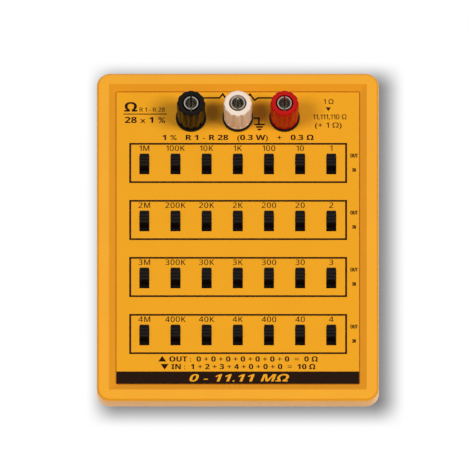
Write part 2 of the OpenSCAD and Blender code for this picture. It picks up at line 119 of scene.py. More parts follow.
lens = bpy.data.cameras.new("view")
lens.type = "ORTHO"
lens.ortho_scale = VIEW_WIDTH
camera = bpy.data.objects.new("view", lens)
back = Vector((0, -math.cos(VIEW_ELEVATION), math.sin(VIEW_ELEVATION)))
camera.location = VIEW_TARGET + VIEW_DISTANCE * back
camera.rotation_euler = (math.pi / 2 - VIEW_ELEVATION, 0, 0)
bpy.context.scene.collection.objects.link(camera)
bpy.context.scene.camera = camera
bpy.context.scene.view_settings.view_transform = "Standard"
print("camera at", [round(value, 3) for value in camera.location])

# %% [markdown]
# ## Node helpers
# Materials and Geometry Nodes are both trees of nodes. A tree can be drawn by hand in the node editor, but
# a script repeats it exactly. A few small helpers keep that short: one adds a node and fills its sockets
# from numbers or from other sockets, and the others do so for the nodes that come back most.

# %% Helpers for node trees
def feed(tree, socket, source):
    """Links a socket from another one, or sets its value."""
    if isinstance(source, bpy.types.NodeSocket):
        tree.links.new(source, socket)
    else:
        socket.default_value = source


def add_node(tree, kind, inputs=None, **settings):
    """Adds a node. An input is a value, a socket to link from, or a list of sockets."""
    node = tree.nodes.new(kind)
    for key, value in settings.items():
        setattr(node, key, value)
    for key, value in (inputs or {}).items():
        for source in value if isinstance(value, list) else [value]:
            feed(tree, node.inputs[key], source)
    return node


def made(tree, kind, inputs=None, **settings):
    """The first output of a new node."""
    return add_node(tree, kind, inputs, **settings).outputs[0]


def calc(tree, operation, *values):
    """The result of a Math node whose values are numbers or sockets."""
    return made(tree, "ShaderNodeMath", dict(enumerate(values)), operation=operation)


def vector(tree, x=0.0, y=0.0, z=0.0):
    """A vector of three numbers or sockets."""
    return made(tree, "ShaderNodeCombineXYZ", {"X": x, "Y": y, "Z": z})


def parts_of(tree, place):
    """The X, Y and Z of a vector."""
    return add_node(tree, "ShaderNodeSeparateXYZ", {0: place}).outputs


def blend_colour(tree, share, first, second):
    """The colour between two colours, at a share from 0 to 1."""
    inputs = {0: share, 6: first, 7: second}
    return add_node(tree, "ShaderNodeMix", inputs, data_type="RGBA").outputs[2]


print("node helpers ready")

# %% [markdown]
# ## Floor
# The box lies on a white sheet. To the camera the sheet is plain white, with a painted shadow where the box
# would keep the light away. A broad lamp in front of a flat box would throw the outline of its cover on the
# sheet, moved a little back and to the right, with soft edges. A real lamp could cast it, but then the amber
# walls would tint it. So the shadow is painted: a darker rectangle with a smooth step at each side, which a
# few nodes work out from the box of the frame. It lies where it is from every side, and all other rays see a
# plain matt sheet.

# %% Make the floor
FLOOR_SIZE = 4.0
FLOOR_WHITE = (0.9, 0.9, 0.9, 1)
SHADE_MOVE = (3.2 * MM, 10.0 * MM)
SHADE_GROWTH = (1.3 * MM, 2.4 * MM)
SHADE_SOFTNESS = 6.8 * MM
SHADE_DEPTH = 0.51
SCREEN_GAMMA = 2.2


def seen_rays(tree):
    """Masks of the camera's rays and of the rays that a mirror or glass sends on."""
    path = add_node(tree, "ShaderNodeLightPath").outputs
    return path["Is Camera Ray"], calc(tree, "MAXIMUM", path["Is Glossy Ray"], path["Is Transmission Ray"])


def smooth_step(tree, value, edge, softness):
    """Rises from 0 to 1 where the value passes the edge, or falls if the softness is negative."""
    inputs = {"Value": value, "From Min": edge - softness, "From Max": edge + softness}
    return made(tree, "ShaderNodeMapRange", inputs, interpolation_type="SMOOTHSTEP")


def make_white_sheet():
    sheet = bpy.data.materials.new("white_sheet")
    sheet.use_nodes = True
    sheet.cycles.emission_sampling = "NONE"
    tree = sheet.node_tree
    tree.nodes.clear()
    spot = parts_of(tree, add_node(tree, "ShaderNodeTexCoord").outputs["Object"])
    # Painted shadow: the sheet is darkened inside a soft rectangle round the box
    shade = SHADE_DEPTH
    for axis, (move, growth) in enumerate(zip(SHADE_MOVE, SHADE_GROWTH)):
        low = CAD_BOX[0][axis] + move - growth
        high = CAD_BOX[1][axis] + move + growth
        shade = calc(tree, "MULTIPLY", shade, smooth_step(tree, spot[axis], low, SHADE_SOFTNESS))
        shade = calc(tree, "MULTIPLY", shade, smooth_step(tree, spot[axis], high, -SHADE_SOFTNESS))
    tone = calc(tree, "POWER", calc(tree, "SUBTRACT", 1.0, shade), SCREEN_GAMMA)
    shown = made(tree, "ShaderNodeEmission", {"Strength": tone})
    matt = made(tree, "ShaderNodeBsdfDiffuse", {"Color": FLOOR_WHITE})
    seen = calc(tree, "MAXIMUM", *seen_rays(tree))
    surface = made(tree, "ShaderNodeMixShader", {0: seen, 1: matt, 2: shown})
    add_node(tree, "ShaderNodeOutputMaterial", {"Surface": surface})
    return sheet


half = FLOOR_SIZE / 2
corners = [(-half, -half, 0), (half, -half, 0), (half, half, 0), (-half, half, 0)]
floor_mesh = bpy.data.meshes.new("floor")
floor_mesh.from_pydata(corners, [], [(0, 1, 2, 3)])
floor_mesh.materials.append(make_white_sheet())
floor = bpy.data.objects.new("floor", floor_mesh)
bpy.context.scene.collection.objects.link(floor)
print("floor", FLOOR_SIZE, "m wide")

# %% [markdown]
# ## Studio light
# Two soft lamps hang over the left and the right of the box, a little in front of it, as for the photograph
# of a flat thing. One lamp would do for the level faces, but with two each post throws a shade to both
# sides, and between two posts the shades meet and are deep. The world gives the rest. The camera sees the
# world white. Gloss sees it as a dim studio with a pale screen above and behind the box, in place of the
# lamps: the level faces take a little of the screen, and the bevels keep their full colour.

# %% Light the box
WORLD_SHARE = 0.14
GLOSS_WALLS = 0.08
GLOSS_SCREEN = 0.65
SCREEN_FROM = (0, 0.4, 0.917)
SCREEN_FALL = 4.0
# A lamp's share is the brightness that it alone gives a white level face
LAMPS = {
    "left": {"place": (-1.3, -0.35, 2.25), "size": 0.9, "share": 0.39},
    "right": {"place": (1.45, -0.35, 2.25), "size": 0.9, "share": 0.48},
}

world = bpy.data.worlds.new("studio")
bpy.context.scene.world = world
world.use_nodes = True
tree = world.node_tree
tree.nodes.clear()
direct, mirrored = seen_rays(tree)
direction = add_node(tree, "ShaderNodeTexCoord").outputs["Generated"]
facing = add_node(tree, "ShaderNodeVectorMath", {0: direction, 1: SCREEN_FROM}, operation="DOT_PRODUCT")
screen = calc(tree, "POWER", calc(tree, "MAXIMUM", facing.outputs["Value"], 0.0), SCREEN_FALL)
studio = calc(tree, "MULTIPLY_ADD", screen, GLOSS_SCREEN - GLOSS_WALLS, GLOSS_WALLS - WORLD_SHARE)
graded = calc(tree, "MULTIPLY_ADD", mirrored, studio, WORLD_SHARE)
strength = calc(tree, "MULTIPLY_ADD", direct, 1 - WORLD_SHARE, graded)
sky = made(tree, "ShaderNodeBackground", {"Color": (1, 1, 1, 1), "Strength": strength})
add_node(tree, "ShaderNodeOutputWorld", {"Surface": sky})

for name, lamp in LAMPS.items():
    place = Vector(lamp["place"])
    light = bpy.data.lights.new(name, "AREA")
    light.size = lamp["size"]
    light.energy = lamp["share"] * math.pi ** 2 * place.length ** 3 / place.z
    holder = bpy.data.objects.new(name, light)
    holder.location = place
    holder.rotation_euler = (-place).to_track_quat("-Z", "Y").to_euler()
    holder.visible_glossy = False
    bpy.context.scene.collection.objects.link(holder)
    print("lamp", name, round(light.energy, 2), "W")

# %% [markdown]
# ## Effects that several finishes share
# A real surface is never one flat colour. Four effects come back in many finishes of this box: a slow drift
# of tone, the fine grain of a mould, a painted shade that darkens faces which tilt from level, and the rings
# that a lathe leaves round a post's axis. They could be drawn in every material, but a node group is built
# once and keeps them all alike.

# %% Helpers for node groups
NUMBER = "NodeSocketFloat"
VECTOR = "NodeSocketVector"
COLOUR = "NodeSocketColor"


def new_group(name, inputs, outputs):
    """A shader node group with named sockets. Returns the group, its inner inputs and its inner outputs."""
    group = bpy.data.node_groups.new(name, "ShaderNodeTree")
    for label, kind in inputs.items():
        group.interface.new_socket(label, in_out="INPUT", socket_type=kind)
    for label, kind in outputs.items():
        group.interface.new_socket(label, in_out="OUTPUT", socket_type=kind)
    return group, group.nodes.new("NodeGroupInput").outputs, group.nodes.new("NodeGroupOutput").inputs


def noise(group, place, scale, detail=2.0):
    """The value of a Noise texture, about 0.5."""
    inputs = {"Vector": place, "Scale": scale, "Detail": detail}
    return add_node(group, "ShaderNodeTexNoise", inputs).outputs["Fac"]


print("group helpers ready")

# %% Build the tone drift and the mould grain
BROAD_SHARE = 0.02


def make_tone_drift():
    inputs = {"Place": VECTOR, "Colour": COLOUR, "Patch": NUMBER, "Amount": NUMBER}
    group, given, result = new_group("tone_drift", inputs, {"Colour": COLOUR})
    patches = noise(group, given["Place"], calc(group, "DIVIDE", 1.0, given["Patch"]), detail=3.0)
    swing = calc(group, "SUBTRACT", patches, 0.5)
    gain = calc(group, "MULTIPLY_ADD", swing, calc(group, "MULTIPLY", given["Amount"], 2.0), 1.0)
    drifted = made(group, "ShaderNodeVectorMath", {0: given["Colour"], "Scale": gain}, operation="SCALE")
    group.links.new(drifted, result["Colour"])
    return group


def make_mould_grain():
    inputs = {"Place": VECTOR, "Grain": NUMBER, "Smooth": NUMBER, "Rough": NUMBER}
    group, given, result = new_group("mould_grain", inputs, {"Height": NUMBER, "Roughness": NUMBER})
    scale = calc(group, "DIVIDE", 1.0, given["Grain"])
    broad = noise(group, given["Place"], calc(group, "MULTIPLY", scale, BROAD_SHARE))
    inputs = {"Value": broad, "To Min": given["Smooth"], "To Max": given["Rough"]}
    group.links.new(noise(group, given["Place"], scale), result["Height"])
    group.links.new(made(group, "ShaderNodeMapRange", inputs), result["Roughness"])
    return group


TONE_DRIFT = make_tone_drift()
MOULD_GRAIN = make_mould_grain()
print("effects:", TONE_DRIFT.name, MOULD_GRAIN.name)

# %% Build the painted slope shade and the lathe rings
SLOPE_FALL = 4.0
SLOPE_GAIN = 4.9


def make_painted_slope_shade():
    inputs = {"Colour": COLOUR, "Shade colour": COLOUR}
    group, given, result = new_group("painted_slope_shade", inputs, {"Colour": COLOUR})
    # Painted shade: the colour turns to the darker one on faces that tilt from level, most near 35 degrees
    up = parts_of(group, add_node(group, "ShaderNodeNewGeometry").outputs["Normal"])["Z"]
    level = calc(group, "POWER", calc(group, "MAXIMUM", up, 0.0), SLOPE_FALL)
    tilt = calc(group, "MULTIPLY_ADD", calc(group, "MULTIPLY", up, up), -SLOPE_GAIN, SLOPE_GAIN)
    slope = calc(group, "MULTIPLY", level, tilt)
    group.links.new(blend_colour(group, slope, given["Colour"], given["Shade colour"]), result["Colour"])
    return group


def make_lathe_rings():
    inputs = {"Place": VECTOR, "Pitch": NUMBER, "Centre Y": NUMBER, "Ring": NUMBER}
    group, given, result = new_group("lathe_rings", inputs, {"Height": NUMBER})
    spot = parts_of(group, given["Place"])
    reach = calc(group, "MULTIPLY", given["Pitch"], 0.5)
    x = calc(group, "WRAP", spot["X"], reach, calc(group, "MULTIPLY", reach, -1.0))
    y = calc(group, "SUBTRACT", spot["Y"], given["Centre Y"])
    radius = calc(group, "SQRT", calc(group, "MULTIPLY_ADD", x, x, calc(group, "MULTIPLY", y, y)))
    along = calc(group, "DIVIDE", calc(group, "ADD", radius, spot["Z"]), given["Ring"])
    group.links.new(calc(group, "SINE", calc(group, "MULTIPLY", along, 2 * math.pi)), result["Height"])
    return group


PAINTED_SLOPE_SHADE = make_painted_slope_shade()
LATHE_RINGS = make_lathe_rings()
print("effects:", PAINTED_SLOPE_SHADE.name, LATHE_RINGS.name)

# %% [markdown]
# ## Plastics
# The case and the face plate are amber, the knobs and the post insulators are black, and the three caps are
# black, ivory and red. Each could have a material drawn by itself, but all are moulded plastics, so one
# function makes them. The colour passes through the tone drift and, where a darker shade colour is given,
# turns to that painted shade on slopes. The grain gives the roughness and the bump. What is the same all
# over, such as the specular level, is set on the shader itself.

# %% Helpers for finishes
def place_effect(tree, group, inputs):
    """Places a shared effect in a material and returns its outputs."""
    return add_node(tree, "ShaderNodeGroup", inputs, node_tree=group).outputs


def new_finish(name, sockets):
    """A material with a Principled shader. Returns it, its tree, its shader and its coordinates."""
    finish = bpy.data.materials.new(name)
    finish.use_nodes = True
    tree = finish.node_tree
    shader = tree.nodes["Principled BSDF"]
    for socket, value in sockets.items():
        shader.inputs[socket].default_value = value
    return finish, tree, shader, add_node(tree, "ShaderNodeTexCoord").outputs["Object"]


def lay_tone_and_slope_shade(tree, shader, place, colour, patch, drift, slope_shade_colour=None):
    """Gives a shader a drifting colour and, where a darker shade colour is given, that colour as painted
    shade on slopes.
    """
    inputs = {"Place": place, "Colour": colour, "Patch": patch, "Amount": drift}
    tone = place_effect(tree, TONE_DRIFT, inputs)
    if slope_shade_colour:
        # Painted shade on slopes, when a darker colour is given
        tone = place_effect(tree, PAINTED_SLOPE_SHADE, {"Colour": tone["Colour"], "Shade colour": slope_shade_colour})
    tree.links.new(tone["Colour"], shader.inputs["Base Color"])


def lay_grain(tree, shader, place, gloss, grain):
    """Gives a shader a roughness between two values and returns the height of its grain."""
    inputs = {"Place": place, "Grain": grain, "Smooth": gloss[0], "Rough": gloss[1]}
    skin = place_effect(tree, MOULD_GRAIN, inputs)
    tree.links.new(skin["Roughness"], shader.inputs["Roughness"])
    return skin["Height"]


def raise_bump(tree, shader, height, depth):
    """Feeds a height of that depth in metres to a shader's normal."""
    bump = made(tree, "ShaderNodeBump", {"Height": height, "Distance": depth})
    tree.links.new(bump, shader.inputs["Normal"])


print("finish helpers ready")

# %% Make the plastics
PLASTIC_PATCH = 18 * MM
PLASTIC_DRIFT = 0.05
PLAIN_SPECULAR = 0.5


def plastic(name, colour, gloss, grain, depth, specular=PLAIN_SPECULAR, slope_shade_colour=None, patch=PLASTIC_PATCH,
            drift=PLASTIC_DRIFT, coat=None):
    """A plastic. gloss is its least and most roughness, coat its lacquer's weight and roughness."""
    sockets = {"Specular IOR Level": specular}
    if coat:
        sockets.update({"Coat Weight": coat[0], "Coat Roughness": coat[1]})
    finish, tree, shader, place = new_finish(name, sockets)
    lay_tone_and_slope_shade(tree, shader, place, colour, patch, drift, slope_shade_colour)
    raise_bump(tree, shader, lay_grain(tree, shader, place, gloss, grain), depth)
    return finish


# The darker second colour of the case is painted shade on its bevels and rounded edges
CASE_AMBER = plastic("case_amber_moulding", (0.935, 0.402, 0.012, 1), (0.30, 0.42), 0.35 * MM, 0.015 * MM,
                     slope_shade_colour=(0.80, 0.27, 0.003, 1), coat=(0.6, 0.3))
PANEL_AMBER = plastic("panel_amber_paint", (0.885, 0.380, 0.015, 1), (0.42, 0.52), 0.2 * MM, 0.006 * MM,
                      specular=0.25, drift=0.03)
KNOB_BLACK = plastic("knob_black_moulding", (0.0105, 0.0085, 0.008, 1), (0.40, 0.55), 0.25 * MM, 0.012 * MM,
                     specular=0.2)
POST_BLACK = plastic("insulator_black", (0.007, 0.0065, 0.007, 1), (0.3, 0.45), 0.3 * MM, 0.01 * MM,
                     specular=0.3)
CAP_FINISHES = {
    "black": plastic("cap_black_gloss", (0.008, 0.006, 0.005, 1), (0.14, 0.26), 0.5 * MM, 0.004 * MM,
                     specular=0.12),
    "white": plastic("cap_ivory_gloss", (0.91, 0.745, 0.615, 1), (0.16, 0.28), 0.5 * MM, 0.004 * MM,
                     specular=0.3, drift=0.04),
    # The darker second red is painted shade on the slopes of the cap's crown
    "red": plastic("cap_red_gloss", (0.52, 0.006, 0.004, 1), (0.14, 0.26), 0.5 * MM, 0.004 * MM,
                   specular=0.15, slope_shade_colour=(0.40, 0.003, 0.002, 1), drift=0.08),
}
HOUSING_BLACK = plastic("switch_housing_black", (0.013, 0.010, 0.009, 1), (0.5, 0.7), 0.3 * MM, 0.01 * MM)
WIRE_SLEEVE = plastic("wire_sleeve_red", (0.35, 0.02, 0.015, 1), (0.3, 0.45), 0.4 * MM, 0.005 * MM)
FOOT_RUBBER = plastic("foot_rubber_dark", (0.018, 0.017, 0.014, 1), (0.75, 0.95), 0.3 * MM, 0.03 * MM,
                      specular=0.3)
print("plastics made, with caps in", list(CAP_FINISHES))

# %% [markdown]
# ## Metals
# The studs are turned and nickel plated, so fine rings run round each post's axis. The switch frames and
# screws are bright steel and the terminals are brass. A metal could be a grey paint with gloss, but its
# colour is its reflection: so the shader is fully metallic, the base colour stays near its tint, and the
# roughness does the rest.

# %% Make the metals
METAL_PATCH = 4 * MM
METAL_DRIFT = 0.08


def metal(name, tint, gloss, grain, depth, rings=0.0):
    """A metal with a drifting tint. With rings it shows lathe marks of that spacing, else a fine grain."""
    finish, tree, shader, place = new_finish(name, {"Metallic": 1.0})
    lay_tone_and_slope_shade(tree, shader, place, tint, METAL_PATCH, METAL_DRIFT)
    height = lay_grain(tree, shader, place, gloss, grain)
    if rings:
        marks = {"Place": place, "Pitch": POST_PITCH, "Centre Y": POST_Y, "Ring": rings}
        height = place_effect(tree, LATHE_RINGS, marks)["Height"]
    raise_bump(tree, shader, height, depth)
    return finish


STUD_NICKEL = metal("stud_nickel_turned", (0.76, 0.71, 0.62, 1), (0.2, 0.34), 0.2 * MM, 0.003 * MM,
                    rings=0.12 * MM)
WASHER_STEEL = metal("washer_steel_turned", (0.58, 0.57, 0.55, 1), (0.22, 0.35), 0.2 * MM, 0.003 * MM,
                     rings=0.15 * MM)
FRAME_STEEL = metal("frame_steel_sheet", (0.55, 0.55, 0.54, 1), (0.28, 0.42), 0.25 * MM, 0.004 * MM)
SCREW_STEEL = metal("screw_steel_plated", (0.56, 0.55, 0.52, 1), (0.25, 0.4), 0.2 * MM, 0.004 * MM)
TERMINAL_BRASS = metal("terminal_brass_tinned", (0.62, 0.48, 0.22, 1), (0.25, 0.4), 0.2 * MM, 0.004 * MM)
print("metals made, with rings round posts", round(POST_PITCH / MM, 2), "mm apart")

# %% [markdown]
# ## Board and resistors
# The circuit board inside is green lacquer over copper tracks, and each resistor has a tan body with colour
# rings. They show only when the case is open, but they get their finish all the same. The tracks and rings
# could be thin meshes, but nothing here needs their thickness. So the tracks are the joints of a Brick
# texture, and the rings are steps along the resistor, whose X repeats with the spacing of the columns.

# %% Make the board and the resistor finish
TRACK_SHARE = 0.03
RESISTOR_LENGTH = 6.3 * MM
RESISTOR_TAN = (0.50, 0.33, 0.17, 1)
RING_SHARE = 0.10
# Where each ring starts, as a share of the resistor's length, and its colour
RINGS = ((0.12, (0.13, 0.04, 0.015, 1)), (0.34, (0.01, 0.01, 0.01, 1)),
         (0.56, (0.45, 0.09, 0.01, 1)), (0.80, (0.14, 0.05, 0.02, 1)))


def make_board_green():
    finish, tree, shader, place = new_finish("board_green_lacquer", {"Coat Weight": 0.4})
    inputs = {"Vector": place, "Color1": (0.02, 0.13, 0.05, 1), "Color2": (0.025, 0.15, 0.06, 1),
              "Mortar": (0.05, 0.24, 0.09, 1), "Scale": 1 / COLUMN_PITCH, "Mortar Size": TRACK_SHARE}
    tracks = add_node(tree, "ShaderNodeTexBrick", inputs).outputs
    lay_tone_and_slope_shade(tree, shader, place, tracks["Color"], patch=6 * MM, drift=0.1)
    lay_grain(tree, shader, place, gloss=(0.25, 0.4), grain=0.3 * MM)
    raise_bump(tree, shader, tracks["Fac"], depth=0.03 * MM)
    return finish


def make_resistor_body():
    finish, tree, shader, place = new_finish("resistor_tan_lacquer", {"Coat Weight": 0.3})
    along = calc(tree, "WRAP", parts_of(tree, place)["X"], COLUMN_PITCH / 2, -COLUMN_PITCH / 2)
    inputs = {"Value": along, "From Min": -RESISTOR_LENGTH / 2, "From Max": RESISTOR_LENGTH / 2}
    rings = add_node(tree, "ShaderNodeValToRGB", {"Fac": made(tree, "ShaderNodeMapRange", inputs)})
    rings.color_ramp.interpolation = "CONSTANT"
    steps = [(0.0, RESISTOR_TAN)]
    for start, colour in RINGS:
        steps += [(start, colour), (start + RING_SHARE, RESISTOR_TAN)]
    for start, colour in steps[2:]:
        rings.color_ramp.elements.new(start)
    for element, (start, colour) in zip(rings.color_ramp.elements, steps):
        element.position = start
        element.color = colour
    lay_tone_and_slope_shade(tree, shader, place, rings.outputs["Color"], patch=3 * MM, drift=0.08)
    height = lay_grain(tree, shader, place, gloss=(0.3, 0.45), grain=0.4 * MM)
    raise_bump(tree, shader, height, depth=0.01 * MM)
    return finish


BOARD_GREEN = make_board_green()
RESISTOR_BODY = make_resistor_body()
print("materials so far:", len(bpy.data.materials))

# %% [markdown]
# ## Pieces that stay as they are
# The inner pieces of the CAD model already have the right shape. They could be copied and refined as the
# outer ones are, but the case hides their edges. So they keep their mesh and only get their finish, through
# the material slot of their object.

# %% Paint the inner pieces
INNER_FINISHES = {
    "circuit_board": BOARD_GREEN, "resistors": RESISTOR_BODY, "switch_terminals": TERMINAL_BRASS,
    "board_screws": SCREW_STEEL, "post_bushes": POST_BLACK, "post_nuts": TERMINAL_BRASS,
    "solder_tags": TERMINAL_BRASS, "hookup_wires": WIRE_SLEEVE,
}
for row in ROWS:
    INNER_FINISHES[f"switch_frames_row_{row}"] = FRAME_STEEL
    INNER_FINISHES[f"switch_housings_row_{row}"] = HOUSING_BLACK
for node, finish in INNER_FINISHES.items():
    frame["nodes"][node].material_slots[0].material = finish
print("inner pieces painted:", len(INNER_FINISHES))

# %% [markdown]
# ## Mouldings with soft edges
# A moulded or turned piece has no knife edge. The CAD solids have true shapes with sharp corners, so the
# outer ones are copied, their loose triangles are joined and their flat faces made whole, and a Bevel
# modifier rounds every edge that is sharp enough. Modelling them again by hand could give the same edges,
# but a copy can't miss the frame. Each copy stands for its CAD node.

# %% Helpers for the outer pieces
WELD = 0.002 * MM
FLAT = math.radians(0.5)
SHARP = math.radians(20)


def show_piece(name, mesh, finish, body):
    """Links a finished mesh as a piece of the object that rides on a body."""
    mesh.materials.clear()
    mesh.materials.append(finish)
    piece = bpy.data.objects.new(name, mesh)
    bpy.context.scene.collection.objects.link(piece)
    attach(piece, body)
    return piece


def joined_copy(node):
    """A copy of a CAD node's mesh with its triangles joined and its flat faces whole."""
    mesh = frame["nodes"][node].data.copy()
    mesh.name = f"{node}_joined"
    if "custom_normal" in mesh.attributes:
        mesh.attributes.remove(mesh.attributes["custom_normal"])
    work = bmesh.new()
    work.from_mesh(mesh)
    bmesh.ops.remove_doubles(work, verts=work.verts, dist=WELD)
    bmesh.ops.dissolve_limit(work, angle_limit=FLAT, verts=work.verts, edges=work.edges)
    work.to_mesh(mesh)
    work.free()
    mesh.shade_smooth()
    return mesh


def soften(name, node, finish, width, steps, body="case"):
    """Shows a joined copy of a CAD node with rounded edges in its place."""
    piece = show_piece(name, joined_copy(node), finish, body)
    bevel = piece.modifiers.new("soft edges", "BEVEL")
    bevel.width = width
    bevel.segments = steps
    bevel.limit_method = "ANGLE"
    bevel.angle_limit = SHARP
    bevel.harden_normals = True
    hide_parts(node)


print("edges sharper than", round(math.degrees(SHARP)), "degrees are rounded")

# %% Soften the outer pieces
soften("moulded_cover", "top_cover", CASE_AMBER, 0.3 * MM, 3)
soften("moulded_tub", "bottom_tub", CASE_AMBER, 0.3 * MM, 3)
soften("printed_plate", "face_plate", PANEL_AMBER, 0.08 * MM, 2)
soften("rubber_feet", "feet", FOOT_RUBBER, 0.3 * MM, 3)
soften("case_screw_set", "case_screws", SCREW_STEEL, 0.12 * MM, 2)
soften("post_stand_offs", "post_collars", POST_BLACK, 0.2 * MM, 3)
for post in POSTS:
    washer = f"{post}_clamp_washer"
    soften(f"{post}_post_stud", f"{post}_stud", STUD_NICKEL, 0.1 * MM, 2)
    soften(f"{post}_clamp_ring", washer, WASHER_STEEL, 0.12 * MM, 2, f"{post}_clamp")

# %% [markdown]
# ## Growing shapes with Geometry Nodes
# The caps, threads, knobs and printed frames repeat or follow a rule. Each could be modelled once and
# copied by hand, but a tree of nodes with named sizes shows the rule itself. One helper starts a tree,
# another closes it with Realize Instances and Set Material, and a third runs it and keeps the plain mesh.

# %% Helpers for Geometry Nodes
COUNT = "NodeSocketInt"
FINISH = "NodeSocketMaterial"


def new_tree(name, lengths, others):
    """A Geometry Nodes tree with named inputs. Returns the tree and its inner inputs."""
    tree = bpy.data.node_groups.new(name, "GeometryNodeTree")
    tree.interface.new_socket("Mesh", in_out="OUTPUT", socket_type="NodeSocketGeometry")
    inputs = {label: NUMBER for label in lengths}
    inputs.update(others)
    inputs["Finish"] = FINISH
    for label, kind in inputs.items():
        tree.interface.new_socket(label, in_out="INPUT", socket_type=kind)
    return tree, tree.nodes.new("NodeGroupInput").outputs


def close_tree(tree, geometry, finish):
    """Ends a tree with real geometry in one finish."""
    real = made(tree, "GeometryNodeRealizeInstances", {"Geometry": geometry})
    painted = made(tree, "GeometryNodeSetMaterial", {"Geometry": real, "Material": finish})
    add_node(tree, "NodeGroupOutput", {"Mesh": painted})
    print(tree.name, "tree with", len(tree.nodes), "nodes")
    return tree


def merge(tree, *geometries):
    """Joins geometries and welds the points that meet."""
    joined = made(tree, "GeometryNodeJoinGeometry", {"Geometry": list(geometries)})
    return made(tree, "GeometryNodeMergeByDistance", {"Geometry": joined, "Distance": WELD})


def pick(tree, kind, index, choices):
    """The choice with this number, counted from 0."""
    switch = add_node(tree, "GeometryNodeIndexSwitch", data_type=kind)
    for extra in choices[2:]:
        switch.index_switch_items.new()
    for socket, source in zip(switch.inputs, [index] + choices):
        feed(tree, socket, source)
    return switch.outputs[0]


def grow(name, tree, values):
    """Runs a tree with these values and returns its result as a plain mesh."""
    holder = bpy.data.objects.new(name, bpy.data.meshes.new(name))
    bpy.context.scene.collection.objects.link(holder)
    modifier = holder.modifiers.new(tree.name, "NODES")
    modifier.node_group = tree
    for item in tree.interface.items_tree:
        if item.in_out == "INPUT":
            modifier[item.identifier] = values[item.name]
    ready = holder.evaluated_get(bpy.context.evaluated_depsgraph_get())
    mesh = bpy.data.meshes.new_from_object(ready)
    holder.modifiers.clear()
    bpy.data.objects.remove(holder)
    mesh.name = name
    return mesh


print("geometry helpers ready")

# %% [markdown]
# ## Fluted caps
# Each binding post is closed by a thumb nut with twelve flutes, so that fingers can grip it. Its shape is a
# turned profile, wrapped round the axis, with a groove that comes back twelve times. Twelve cylinders could
# be cut out of a turned body, but a grid gives cleaner faces: its rows follow the profile, its columns go
# round, and the radius of a fluted row is held back to the groove. The rim of the crown is a quarter
# circle.

# %% Draw the cap's profile
CROWN_STEPS = 4
FOOT_CHAMFER = 0.2 * MM


def cap_profile(tree, size):
    """The profile from the recess round the outside and back, as radius, fluted or not, and height."""
    ring_top = calc(tree, "ADD", size["Foot"], size["Ring"])
    crown_foot = calc(tree, "SUBTRACT", size["Top"], size["Crown"])
    crown_middle = calc(tree, "SUBTRACT", size["Top radius"], size["Crown"])
    mouth_floor = calc(tree, "SUBTRACT", size["Top"], size["Mouth depth"])
    points = [(size["Recess radius"], 0.0, size["Foot"]),
              (calc(tree, "SUBTRACT", size["Foot radius"], FOOT_CHAMFER), 0.0, size["Foot"]),
              (size["Foot radius"], 0.0, calc(tree, "ADD", size["Foot"], FOOT_CHAMFER)),
              (size["Foot radius"], 0.0, ring_top), (size["Foot radius"], 1.0, ring_top)]
    for step in range(CROWN_STEPS + 1):
        turn = step / CROWN_STEPS * math.pi / 2
        radius = calc(tree, "MULTIPLY_ADD", size["Crown"], math.cos(turn), crown_middle)
        points.append((radius, 1.0, calc(tree, "MULTIPLY_ADD", size["Crown"], math.sin(turn), crown_foot)))
    points += [(size["Mouth radius"], 0.0, size["Top"]), (size["Mouth radius"], 0.0, mouth_floor),
               (size["Bore radius"], 0.0, mouth_floor), (size["Bore radius"], 0.0, size["Recess top"]),
               (size["Recess radius"], 0.0, size["Recess top"]), points[0]]
    return [vector(tree, *point) for point in points]


print("crown rounded in", CROWN_STEPS, "steps")

# %% Build the cap's tree
FLUTE_STEPS = 10


def make_fluted_cap():
    lengths = ("Foot radius", "Top radius", "Foot", "Top", "Ring", "Crown", "Mouth radius", "Mouth depth",
               "Bore radius", "Recess radius", "Recess top", "Flute depth", "Flute share")
    tree, size = new_tree("fluted_cap", lengths, {"Flutes": COUNT, "Axis": VECTOR})
    rows = cap_profile(tree, size)
    around = calc(tree, "MULTIPLY", size["Flutes"], float(FLUTE_STEPS))
    inputs = {"Size X": 1.0, "Size Y": 1.0, "Vertices X": calc(tree, "ADD", around, 1.0),
              "Vertices Y": len(rows)}
    grid = made(tree, "GeometryNodeMeshGrid", inputs)
    index = made(tree, "GeometryNodeInputIndex")
    row = calc(tree, "MODULO", index, float(len(rows)))
    column = calc(tree, "FLOOR", calc(tree, "DIVIDE", index, float(len(rows))))
    profile = parts_of(tree, pick(tree, "VECTOR", row, rows))

    spot = calc(tree, "FRACT", calc(tree, "DIVIDE", column, float(FLUTE_STEPS)))
    off_centre = calc(tree, "ABSOLUTE", calc(tree, "MULTIPLY_ADD", spot, 2.0, -1.0))
    slope = calc(tree, "POWER", calc(tree, "DIVIDE", off_centre, size["Flute share"]), 2.0)
    groove = calc(tree, "MAXIMUM", calc(tree, "SUBTRACT", 1.0, slope), 0.0)
    cut = calc(tree, "SUBTRACT", size["Top radius"], calc(tree, "MULTIPLY", groove, size["Flute depth"]))
    held = calc(tree, "MINIMUM", profile["X"], cut)
    shift = calc(tree, "MULTIPLY", calc(tree, "SUBTRACT", held, profile["X"]), profile["Y"])
    radius = calc(tree, "ADD", profile["X"], shift)
    angle = calc(tree, "MULTIPLY", calc(tree, "DIVIDE", column, around), 2 * math.pi)
    x = calc(tree, "MULTIPLY", radius, calc(tree, "COSINE", angle))
    y = calc(tree, "MULTIPLY", radius, calc(tree, "SINE", angle))
    inputs = {0: vector(tree, x, y, profile["Z"]), 1: size["Axis"]}
    placed = made(tree, "ShaderNodeVectorMath", inputs, operation="ADD")
    turned = made(tree, "GeometryNodeSetPosition", {"Geometry": grid, "Position": placed})
    return close_tree(tree, merge(tree, turned), size["Finish"])


FLUTED_CAP = make_fluted_cap()

